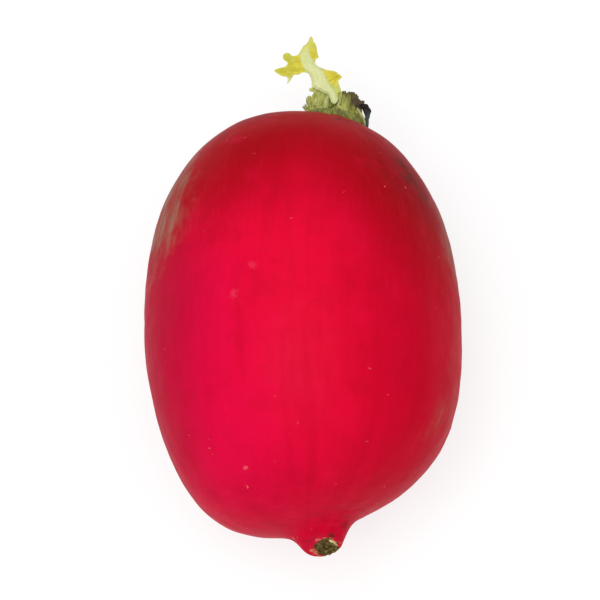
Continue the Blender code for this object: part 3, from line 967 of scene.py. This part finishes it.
# Turn round the crown in degrees, height, width, outward lean, dryness, paleness, how far it is torn
OUTER_STUBS = [
    (180, 2.7, 2.3, 0.72, 0.1, 0.3, 0.5),
    (158, 3.4, 2.2, 0.45, 0.0, 0.1, 0.6),
    (137, 4.2, 2.0, 0.10, 0.0, 0.2, 0.6),
    (117, 3.2, 0.75, 0.0, 0.0, 0.65, 0.6),
    (88, 2.1, 1.7, 0.0, 0.6, 0.0, 0.4),
    (64, 4.4, 1.5, 0.02, 0.6, 0.1, 0.5),
    (41, 4.7, 2.1, 0.0, 1.1, 0.0, 0.25),
    (14, 4.5, 2.2, 0.1, 1.2, 0.0, 0.25),
    (-20, 3.5, 2.1, 0.12, 0.5, 0.0, 0.5),
    (-54, 3.9, 2.2, 0.12, 0.2, 0.1, 0.5),
    (-90, 4.2, 2.2, 0.14, 0.0, 0.2, 0.5),
    (-126, 3.7, 2.2, 0.18, 0.3, 0.0, 0.5),
    (-156, 3.3, 1.9, 0.35, 0.1, 0.2, 0.5),
]
INNER_STUBS = [
    (172, 3.1, 1.4, 0.0, 0.0, 0.4, 0.3),
    (120, 3.3, 1.3, 0.0, 0.4, 0.0, 0.3),
    (78, 3.2, 1.2, 0.0, 0.6, 0.0, 0.3),
    (232, 3.0, 1.2, 0.0, 0.1, 0.4, 0.3),
    (292, 2.8, 1.2, 0.0, 0.0, 0.4, 0.3),
    (352, 3.1, 1.2, 0.0, 0.2, 0.3, 0.3),
]
COLLAR = [(4.6, -0.8), (5.0, -0.1), (4.95, 0.6), (4.5, 1.2), (3.4, 1.6), (1.7, 1.8)]
COLLAR_SIDES = 140
# The collar has one notch in its rim, and these are its place, half angle and depth
NOTCH_TURN = math.radians(16)
NOTCH_HALF_ANGLE = math.radians(20)
NOTCH_DEPTH = 0.7
NOTCH_AT_RADIUS = 4.85
STALK_MARKS = ("inside", "low", "dry", "pale", "torn")


def stub(bm, marks, radius, kind, seed):
    """The stub of one cut stalk."""
    turn, height, width, lean, dry, pale, tear = kind
    angle = math.radians(turn)
    out = (math.cos(angle), math.sin(angle))
    aside = (-out[1], out[0])
    slant = random.Random(seed).uniform(-0.35, 0.35)
    levels = [(STUB_FOOT + (height - STUB_FOOT) * i / STUB_LEVELS, 0.0) for i in range(STUB_LEVELS + 1)]
    levels += [(height, 0.25), (height - 0.3, 0.5), (height - 0.6, 0.75)]
    rings = []
    for level, inward in levels:
        share = (level - STUB_FOOT) / (height - STUB_FOOT)
        swell = (1.16 - 0.3 * math.sin(math.pi * min(share, 1) * 0.75)) * (1 - 0.8 * inward)
        ring = []
        for s in range(STUB_SIDES):
            a = 2 * math.pi * s / STUB_SIDES
            rib = 1 + 0.06 * math.cos(9 * a + seed) + 0.05 * math.cos(4 * a)
            rib += 0.12 * ripple(math.cos(a) * 2, math.sin(a) * 2, level * 0.8 + seed * 5)
            wide = math.sin(a) * width / 2 * swell * rib
            thick = math.cos(a) * STUB_THICKNESS / 2 * swell * rib
            from_axis = radius + thick - 0.22 * wide**2 + lean * (level - 1)
            torn = ripple(math.cos(a) * 2, math.sin(a) * 2, seed * 7) + 0.7 * ripple(a * 5, seed, 2)
            rise = level + (slant * math.sin(a) + tear * torn) * max(0.0, share) ** 3
            wide += 0.16 * ripple(level * 1.2, seed * 3, 1)
            right = from_axis * out[0] + wide * aside[0]
            front = from_axis * out[1] + wide * aside[1]
            vert = bm.verts.new(crown_point(right, rise, front))
            vert[marks["inside"]] = min(1.0, inward * 2)
            # The low mark lays painted shade at the stub's foot.
            vert[marks["low"]] = min(max(1.9 - rise, 0.0), 1.0)
            vert[marks["dry"]] = dry * (0.1 + 0.9 * share)
            vert[marks["pale"]] = pale
            vert[marks["torn"]] = share if inward == 0 and dry < 1 else 0.0
            ring.append(vert)
        rings.append(ring)
    join_rings(bm, rings)


def collar(bm, marks):
    """The low fleshy dome that the stalks grew from, scarred in rays."""
    path = smooth_path([(radius, height, 0) for radius, height in COLLAR], 30)
    rings = []
    for radius, height, _ in path:
        ring = []
        for s in range(COLLAR_SIDES):
            turn = 2 * math.pi * s / COLLAR_SIDES
            off_notch = (turn - NOTCH_TURN + math.pi) % (2 * math.pi) - math.pi
            notch = math.exp(-((off_notch / NOTCH_HALF_ANGLE) ** 2))
            wide = radius - NOTCH_DEPTH * (radius / NOTCH_AT_RADIUS) * notch
            ray = ripple(math.cos(turn) * 7, math.sin(turn) * 7, height * 0.5)
            wide *= 1 + 0.04 * ray
            rise = height + 0.18 * ray
            vert = bm.verts.new(crown_point(wide * math.cos(turn), rise, wide * math.sin(turn)))
            # The low mark lays painted shade over the whole collar.
            vert[marks["low"]] = 0.75 + 0.25 * ripple(math.cos(turn) * 3, math.sin(turn) * 3, height)
            vert[marks["dry"]] = 0.3 + 0.4 * ripple(math.cos(turn) * 2, math.sin(turn) * 2, 3)
            ring.append(vert)
        rings.append(ring)
    join_rings(bm, rings)


stalks = bmesh.new()
stalk_marks = {name: stalks.verts.layers.float.new(name) for name in STALK_MARKS}
collar(stalks, stalk_marks)
for number, kind in enumerate(OUTER_STUBS):
    stub(stalks, stalk_marks, OUTER_RADIUS, kind, number)
for number, kind in enumerate(INNER_STUBS):
    stub(stalks, stalk_marks, INNER_RADIUS, kind, number + 20)

# %% [markdown]
# Shreds of torn stalk lie over the collar's edge on the right, and narrow pale tips stand on the left and
# in the middle. They are short sweeps with their own marks. The first two shreds and one tip in the middle
# were begun from places read off an enlarged photograph, and their knots were then moved.

# %% Add the shreds and make the piece
# Knots, half width, dryness, paleness
SHREDS = [
    ([(3.1, 2.8, 1.9), (3.7, 1.9, 2.1), (4.4, 0.9, 1.9), (4.6, 0.2, 1.7)], 0.28, 0.2, 0.6),
    ([(2.7, 2.3, 2.3), (3.5, 1.4, 2.3), (4.2, 0.5, 2.0), (4.4, -0.1, 1.8)], 0.4, 0.5, 0.0),
    ([(3.3, 2.4, 1.3), (4.0, 1.5, 1.4), (4.6, 0.6, 1.4), (4.8, -0.1, 1.4)], 0.45, 0.9, 0.0),
    ([(0.4, 2.1, 3.6), (1.1, 1.6, 3.7), (2.0, 1.2, 3.4), (2.8, 0.7, 2.9)], 0.3, 0.1, 0.3),
    ([(-3.2, 2.1, 2.3), (-3.0, 3.3, 2.3), (-3.3, 4.4, 2.0), (-3.9, 5.2, 1.8)], 0.35, 0.0, 0.5),
    ([(-2.3, 2.0, 2.9), (-2.2, 3.0, 2.9), (-2.4, 4.2, 2.5)], 0.3, 0.0, 0.2),
    ([(0.1, 2.0, 3.0), (0.5, 3.2, 2.8), (0.2, 4.2, 2.5)], 0.25, 0.0, 0.8),
    ([(0.9, 2.0, 2.9), (1.1, 3.2, 2.7), (0.8, 4.3, 2.4)], 0.22, 0.1, 0.6),
]
SHRED_TAPER = (0.7, 1, 0.8, 0.3)
for number, (knots, half, dry, pale) in enumerate(SHREDS):
    first = len(stalks.verts)
    blade(
        stalks,
        knots,
        widths=[half * share for share in SHRED_TAPER],
        thickness=[0.5, 0.4, 0.4, 0.25],
        facing=(0, 0, 1),
        seed=number + 61,
        wave=0.3,
        crinkle=0.12,
        steps=20,
        sides=12,
    )
    stalks.verts.ensure_lookup_table()
    for vert in stalks.verts[first:]:
        vert[stalk_marks["dry"]] = dry
        vert[stalk_marks["pale"]] = pale
crown_stalks = finished("crown_stalks", stalks, cut_stalk, "leaf_stubs")

# %% [markdown]
# Where a green stalk is torn, its fibres stand out of the rim. There are many and they follow the
# surface, so a Geometry Nodes tree scatters them: points fall only where the torn mark is high, and each
# carries one thin tapered fibre.

# %% Scatter the fibres
FIBRE_SIZES = {"Density": 7.0, "Length": 0.4, "Thickness": 0.035, "Torn above": 0.8, "Seed": 4}


def fibre_form():
    """The tree that scatters fibres over the torn rims."""
    tree, inputs, size = new_form("fibre_form", FIBRE_SIZES, takes_mesh=True)
    torn = tree.nodes.new("GeometryNodeInputNamedAttribute")
    torn.data_type = "FLOAT"
    torn.inputs["Name"].default_value = "torn"
    scatter = tree.nodes.new("GeometryNodeDistributePointsOnFaces")
    on_rim = Wire(tree, torn.outputs[0]).maths("GREATER_THAN", size["Torn above"])
    plug(tree, scatter.inputs["Selection"], on_rim)
    plug(tree, scatter.inputs["Density"], size["Density"])
    plug(tree, scatter.inputs["Seed"], size["Seed"])
    fibre = tree.nodes.new("GeometryNodeMeshCone")
    fibre.inputs["Vertices"].default_value = 5
    plug(tree, fibre.inputs["Radius Bottom"], size["Thickness"])
    fibre.inputs["Radius Top"].default_value = 0.004
    plug(tree, fibre.inputs["Depth"], size["Length"])
    lean = tree.nodes.new("FunctionNodeRandomValue")
    lean.data_type = "FLOAT_VECTOR"
    lean.inputs[0].default_value = (-0.5, -0.5, -0.5)
    lean.inputs[1].default_value = (0.5, 0.5, 0.5)
    toward = [part + shift for part, shift in zip(Wire(tree, lean.outputs[0]).parts(), CROWN_AXIS)]
    turn = tree.nodes.new("FunctionNodeAlignRotationToVector")
    plug(tree, turn.inputs["Vector"], as_vector(tree, *toward))
    instance = tree.nodes.new("GeometryNodeInstanceOnPoints")
    stretch = tree.nodes.new("FunctionNodeRandomValue")
    stretch.inputs[2].default_value = 0.4
    stretch.inputs[3].default_value = 1.3
    scale = Wire(tree, stretch.outputs[1])
    plug(tree, instance.inputs["Scale"], as_vector(tree, scale, scale, scale))
    plug(tree, instance.inputs["Rotation"], Wire(tree, turn.outputs[0]))
    tree.links.new(inputs.outputs["Geometry"], scatter.inputs["Mesh"])
    tree.links.new(scatter.outputs["Points"], instance.inputs["Points"])
    tree.links.new(fibre.outputs["Mesh"], instance.inputs["Instance"])
    end_form(tree, instance.outputs[0], cut_stalk)
    return tree


stalk_fibres = grow("stalk_fibres", fibre_form(), FIBRE_SIZES, in_millimetres(crown_stalks))
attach(stalk_fibres, "root")

# %% [markdown]
# ## The withered stalk
# One stalk at the crown's edge dried up whole: it is wrinkled, nearly black, and bent over like a hook
# with a swollen knee. Most of its knots were read off an enlarged photograph and turned into millimetres
# before they were written here.

# %% Build the withered stalk


def withered_finish():
    """Dry wrinkled tissue, nearly black, and greyish at its foot."""
    material, tree, shader, (x, y, z) = new_finish("withered_stalk")
    rows = cloud(tree, as_vector(tree, x * 5, y * 1.2, z * 5), 1.0, 3, 0.6)
    colour = mix(tree, rows.fade(0.45, 0.75), paint(34, 25, 27), paint(78, 62, 54))
    colour = mix(tree, y.fade(27.4, 26.0) * 0.75, colour, paint(72, 88, 88))
    plug(tree, shader.inputs["Base Color"], colour)
    shader.inputs["Roughness"].default_value = 0.75
    shader.inputs["Specular IOR Level"].default_value = 0.15
    relief(tree, shader, rows, 0.15)
    return material


WITHERED_KNOTS = [
    (4.9, -0.3, 1.5),
    (4.85, 0.6, 1.5),
    (4.8, 1.4, 1.55),
    (4.7, 2.2, 1.6),
    (4.55, 2.8, 1.8),
    (4.2, 3.1, 2.0),
    (3.75, 3.25, 2.1),
    (3.45, 3.3, 2.2),
]
withered = bmesh.new()
blade(
    withered,
    WITHERED_KNOTS,
    widths=[0.3, 0.26, 0.28, 0.45, 0.6, 0.55, 0.35, 0.2],
    thickness=[0.8, 0.8, 0.9, 1.2, 1.4, 1.2, 0.9, 0.5],
    facing=(0, 0, 1),
    seed=3,
    wave=0.25,
    crinkle=0.12,
)
withered_stalk = finished("withered_stalk", withered, withered_finish(), "dried_stalk")

# %% [markdown]
# ## The young leaf
# The sprouted leaf is mostly rib: a thick, pale band with small ruffled lobes of bright yellow on both
# sides. One skin has to run from the rib into the lobes, so the leaf is a sheet: its outline is a smooth
# closed curve, filled with small triangles. Every point then gets a depth for the curl and pleats, and a
# thickness.

# %% Mix the leaf finish
# How far the wave of the pleats turns, in radians, from one row to the next
PLEAT_TURN = 5.7


def leaf_finish(name, rib_colour, blade_colour, pleat_shade_colour):
    """Tender tissue with a pale stranded rib and yellow lobes, whose veins and painted pleat shade follow
    the rows.
    """
    material, tree, shader, (x, y, z) = new_finish(name)
    place = as_vector(tree, x, y, z)
    row, across, lobe, green = [read_mark(tree, mark) for mark in ("row", "across", "lobe", "green")]
    shade = cloud(tree, place, 0.7, 3)
    pleat_shading = (row * PLEAT_TURN).maths("SINE") * 0.2 + shade
    # Painted shade: the blade darker in the troughs of its pleats, and in random patches.
    colour = mix(tree, pleat_shading.fade(0.65, 0.25) * 0.5, blade_colour, pleat_shade_colour)
    colour = mix(tree, across.fade(0.4, 1.4) * 0.22, colour, paint(228, 198, 54))
    colour = mix(tree, across.fade(-0.6, -2.0) * shade.fade(0.35, 0.6) * 0.6, colour, paint(180, 174, 54))
    vein = cloud(tree, as_vector(tree, row * 4, across * 0.6, 0.0), 1.0, 2) - 0.5
    colour = mix(tree, vein.maths("ABSOLUTE").fade(0.05, 0.0) * 0.4, colour, paint(232, 226, 130))
    colour = mix(tree, green, colour, paint(196, 202, 108))
    strands = cloud(tree, as_vector(tree, across * 5, row * 0.5, 3.0), 1.0, 3)
    pale = mix(tree, strands.fade(0.35, 0.65) * 0.6, rib_colour, paint(222, 224, 176))
    pale = mix(tree, shade.fade(0.5, 0.7) * 0.4, pale, paint(200, 204, 112))
    colour = mix(tree, lobe, pale, colour)
    plug(tree, shader.inputs["Base Color"], colour)
    plug(tree, shader.inputs["Roughness"], shade * 0.2 + 0.35)
    shader.inputs["Specular IOR Level"].default_value = 0.25
    glow_within(shader, 0.3, (0.8, 0.8, 0.2), 0.5)
    relief(tree, shader, vein.maths("ABSOLUTE") * lobe * 2 + strands * 0.5, 0.08)
    return material


young_leaf = leaf_finish("young_leaf", paint(208, 214, 150), paint(210, 202, 42), paint(178, 164, 40))

# %% [markdown]
# The outline starts at the leaf's foot and runs up its left side, in and out of the torn lobes. Its
# points and the rib's were read in pixels off an enlarged photograph, and turned into millimetres in the
# crown's frame before they were written here. A few of the outline's were then moved.

# %% Draw the leaf's outline and rib
# Right and height in the crown's frame
LEAF_OUTLINE = [
    (-0.3, 2.7), (-0.8, 3.0), (-1.1, 3.6), (-1.4, 4.1), (-1.9, 4.3), (-2.3, 4.4), (-2.7, 4.6),
    (-3.2, 4.6), (-3.5, 4.9), (-3.8, 4.8), (-4.0, 5.3), (-4.1, 5.9), (-4.4, 6.6), (-4.7, 7.0),
    (-5.0, 7.1), (-5.6, 7.1), (-5.9, 6.8), (-6.3, 6.6), (-6.7, 6.6), (-7.0, 6.2), (-7.2, 5.6),
    (-7.6, 5.0), (-7.6, 5.6), (-7.8, 6.1), (-8.3, 6.1), (-8.8, 6.2), (-9.3, 6.5), (-9.8, 6.8),
    (-9.4, 7.2), (-8.7, 7.5), (-8.3, 7.7), (-8.0, 8.1), (-8.1, 8.4), (-8.6, 8.7), (-8.8, 9.0),
    (-8.9, 9.4), (-8.7, 9.7), (-8.3, 9.9), (-7.9, 9.8), (-7.5, 9.5), (-7.0, 9.6), (-6.6, 9.9),
    (-6.4, 10.5), (-6.2, 11.1), (-5.8, 11.6), (-5.5, 12.1), (-5.4, 12.6), (-5.2, 13.0), (-4.9, 12.7),
    (-4.8, 12.3), (-4.4, 11.9), (-4.1, 11.3), (-3.9, 10.5), (-3.6, 9.8), (-3.9, 9.6), (-4.0, 9.3),
    (-4.0, 8.9), (-3.8, 8.6), (-3.3, 8.3), (-2.9, 8.2), (-2.3, 8.0), (-1.7, 8.0), (-0.9, 8.0),
    (-0.4, 7.7), (0.1, 7.4), (0.2, 7.1), (0.0, 6.8), (-0.2, 6.5), (-0.1, 6.1), (0.1, 5.7),
    (0.3, 5.3), (0.4, 4.9), (0.2, 4.7), (0.0, 4.4), (0.1, 4.1), (0.2, 3.7), (0.1, 3.1),
]
LEAF_RIB = [
    (-0.3, 2.9), (-0.6, 3.5), (-0.9, 4.1), (-1.8, 4.7), (-2.5, 5.3), (-3.0, 6.1), (-3.3, 6.8),
    (-4.1, 7.7), (-4.8, 8.4), (-5.3, 9.1), (-5.7, 10.0), (-5.7, 11.0), (-5.5, 11.9), (-5.2, 12.7),
]
RIB_WIDTHS = [0.5, 0.6, 0.65, 0.95, 1.3, 1.2, 1.1, 1.0, 0.95, 0.85, 0.7, 0.55, 0.4, 0.15]
LEAF_FRONT = 2.4


def closed_curve(knots, steps):
    """A smooth closed curve through flat knots."""
    points = []
    for i in range(len(knots)):
        nearby = [Vector(knots[(i + k) % len(knots)]) for k in (-1, 0, 1, 2)]
        points.extend(curve_point(*nearby, step / steps) for step in range(steps))
    return points


def is_inside(point, loop):
    """Whether a flat point lies inside a closed loop."""
    inside = False
    for a, b in zip(loop, loop[1:] + loop[:1]):
        if (a.y > point.y) != (b.y > point.y):
            if point.x < (b.x - a.x) * (point.y - a.y) / (b.y - a.y) + a.x:
                inside = not inside
    return inside


def nearest_on(points, place, closed=False):
    """How far a flat place is from a line of points, on which side, and how far along, from 0 to 1."""
    best = (1e9, 1, 0)
    ends = points[1:] + points[:1] if closed else points[1:]
    for i, (a, b) in enumerate(zip(points, ends)):
        along = b - a
        share = min(max((place - a).dot(along) / along.length_squared, 0), 1)
        away = place - a - along * share
        if away.length < best[0]:
            side = 1 if along.x * away.y - along.y * away.x < 0 else -1
            best = (away.length, side, (i + share) / len(ends))
    return best


outline = closed_curve(LEAF_OUTLINE, 3)
rib_line = [Vector((p.x, p.y)) for p in smooth_path([(*knot, 0) for knot in LEAF_RIB], 60)]
print("outline has", len(outline), "points")

# %% [markdown]
# Pleats run outward from the rib, as the side veins pull the blade together, and the rim ruffles more the
# further it lies from the rib. The rib itself is a long pad, thickest in its middle.

# %% Fill and raise the leaf
# The triangles' size, how far apart their rows are as a share of it, and how far from the rim they start
LEAF_GRAIN = 0.14
ROW_SPACING = 0.87
CLEAR_OF_RIM = 0.08
PLEAT_HEIGHT = 0.09
RUFFLE_HEIGHT = 0.3
CRINKLE_HEIGHT = 0.07
# Half thicknesses: at the rim, and what the blade and the rib add to it
AT_RIM = 0.05
BLADE_ADDS = 0.1
RIB_ADDS = 0.42


def smooth_share(value, low, high):
    """0 below low, 1 above high, and smooth in between."""
    t = min(max((value - low) / (high - low), 0), 1)
    return t * t * (3 - 2 * t)


def leaf_point(place):
    """The depth of the sheet's middle, half its thickness, and the marks of one flat place."""
    away, side, share = nearest_on(rib_line, place)
    width = between(RIB_WIDTHS, share)
    edge = nearest_on(outline, place, closed=True)[0]
    out = max(0.0, away - 0.8 * width)
    hood = smooth_share(share, 0.75, 0.9)
    row = share * 11 - 0.35 * away
    row += (8.8 + 0.5 * away - row) * hood
    depth = 0.95 * smooth_share(share, 0.3, 0.0) - 0.1 * min(out, 3) ** 1.5
    depth += PLEAT_HEIGHT * min(1, out / 0.6) * math.sin(row * PLEAT_TURN)
    depth += RUFFLE_HEIGHT * min(1, out / 1.5) * ripple(place.x * 0.8, place.y * 0.8, 5)
    depth += CRINKLE_HEIGHT * ripple(place.x * 3, place.y * 3, 9)
    thick = AT_RIM + BLADE_ADDS * smooth_share(edge, 0, 0.4)
    pad = math.sqrt(max(0.0, 1 - (away / width) ** 2)) if width > 0 else 0
    swelling = 0.4 + 0.6 * math.sin(math.pi * min(share * 1.3, 1))
    thick += RIB_ADDS * pad * smooth_share(edge, 0, 0.5) * swelling
    lobe = smooth_share(away, width * 0.8, width * 1.15)
    lobe *= 1 - smooth_share(place.y, 6.4, 5.6) * smooth_share(place.x, -1.6, -2.2)
    lobe = max(lobe, 0.85 * smooth_share(share, 0.72, 0.92))
    low = smooth_share(place.y, 6.3, 5.2) * smooth_share(place.x, -2.5, -1.2)
    upper = smooth_share(place.y, 8.6, 9.6) * smooth_share(place.x, -7, -8)
    # The hood's share of the green mark gives the curled tip an olive tint, which is painted shade.
    green = max(0.5 * hood, low, 0.5 * upper, 0.5 * smooth_share(edge, 0.25, 0.0))
    return depth, thick, {"row": row, "across": side * away, "lobe": lobe, "green": green}


def leaf_sheet(bm):
    """The leaf as one closed sheet, a little thicker along its rib."""
    marks = {name: bm.verts.layers.float.new(name) for name in ("row", "across", "lobe", "green")}
    flat = list(outline)
    lowest = [min(p[i] for p in outline) for i in (0, 1)]
    highest = [max(p[i] for p in outline) for i in (0, 1)]
    for j in range(int((highest[1] - lowest[1]) / (LEAF_GRAIN * ROW_SPACING)) + 1):
        for i in range(int((highest[0] - lowest[0]) / LEAF_GRAIN) + 1):
            shift = LEAF_GRAIN / 2 if j % 2 else 0
            right = lowest[0] + i * LEAF_GRAIN + shift
            place = Vector((right, lowest[1] + j * LEAF_GRAIN * ROW_SPACING))
            if is_inside(place, outline):
                if nearest_on(outline, place, closed=True)[0] > CLEAR_OF_RIM:
                    flat.append(place)
    filled = delaunay_2d_cdt(flat, [], [list(range(len(outline)))], 1, 1e-5)
    tops = []
    bottoms = []
    for place in filled[0]:
        depth, thick, values = leaf_point(place)
        middle = crown_point(place.x, place.y, LEAF_FRONT) + view_back * depth
        for row, lift in ((tops, thick), (bottoms, -thick)):
            vert = bm.verts.new(middle + view_back * lift)
            for name, value in values.items():
                vert[marks[name]] = value
            row.append(vert)
    for triangle in filled[2]:
        bm.faces.new([tops[i] for i in triangle])
        bm.faces.new([bottoms[i] for i in reversed(triangle)])
    number = {vert: i for i, vert in enumerate(tops)}
    rim = [edge for edge in bm.edges if edge.is_boundary and edge.verts[0] in number]
    for edge in rim:
        a, b = [number[vert] for vert in edge.verts]
        bm.faces.new((tops[a], tops[b], bottoms[b], bottoms[a]))


leaf = bmesh.new()
leaf_sheet(leaf)
sprout_leaf = finished("sprout_leaf", leaf, young_leaf, "young_leaf")

# %% [markdown]
# ## The heart
# Between the stubs sits the bud: tiny leaves folded round each other, yellow-green and only partly open.
# One of the two narrow ones in front was begun from places read off an enlarged photograph, and then moved.

# %% Build the heart leaves


def add_leaf_marks(bm, length, lobe, green):
    """Gives swept blades the marks that the leaf's finish reads. Their rows run along each blade."""
    marks = {name: bm.verts.layers.float.new(name) for name in ("row", "lobe", "green")}
    along = bm.verts.layers.float.get("along")
    for vert in bm.verts:
        vert[marks["row"]] = vert[along] * length
        vert[marks["lobe"]] = lobe
        vert[marks["green"]] = green


heart = bmesh.new()
blade(
    heart,
    [(0.0, 2.0, -0.3), (0.1, 3.2, -0.3), (0.3, 4.4, -0.2)],
    widths=[0.7, 0.7, 0.3],
    thickness=[1.4, 1.3, 0.6],
    facing=(0, 0, 1),
    seed=31,
)
# Knots, half widths and the side that each faces
HEART_LEAVES = [
    (
        [(0.1, 3.0, -0.3), (0.6, 4.2, 0.0), (0.9, 5.1, 0.1), (0.5, 5.9, 0.0)],
        [0.5, 0.9, 1.0, 0.3],
        (0.4, 0, 1),
    ),
    (
        [(-0.2, 3.2, -0.4), (-1.5, 4.6, -0.1), (-3.1, 5.3, 0.4), (-4.3, 5.2, 0.7)],
        [0.4, 0.5, 0.6, 0.3],
        (0, 0.5, 1),
    ),
    (
        [(0.0, 3.0, -0.5), (-0.3, 4.6, -1.4), (-0.5, 5.8, -2.4), (-0.4, 6.3, -3.3)],
        [0.4, 0.8, 0.9, 0.1],
        (0, -1, -0.5),
    ),
    (
        [(0.3, 3.0, -0.5), (1.0, 4.6, -0.9), (1.8, 5.6, -1.3), (2.5, 5.8, -1.9)],
        [0.4, 0.6, 0.7, 0.1],
        (1, -1, 0.2),
    ),
    (
        [(0.6, 2.6, 2.2), (0.3, 3.6, 2.1), (0.0, 4.4, 2.0), (-0.2, 4.9, 1.9)],
        [0.2, 0.3, 0.35, 0.15],
        (0, 0, 1),
    ),
    (
        [(1.1, 2.8, 1.8), (0.8, 3.7, 1.7), (0.4, 4.5, 1.6), (0.2, 5.2, 1.5)],
        [0.2, 0.3, 0.35, 0.1],
        (0.2, 0, 1),
    ),
]
for number, (knots, widths, facing) in enumerate(HEART_LEAVES):
    blade(
        heart,
        knots,
        widths,
        thickness=[0.7, 0.6, 0.4, 0.3],
        facing=facing,
        seed=number + 41,
        wave=0.25,
        crinkle=0.16,
        cup=0.15,
    )
add_leaf_marks(heart, length=4, lobe=0.8, green=0.5)
heart_finish = leaf_finish("heart_leaf", paint(206, 212, 130), paint(214, 206, 70), paint(178, 176, 52))
sprout_heart = finished("sprout_heart", heart, heart_finish, "heart_leaves")
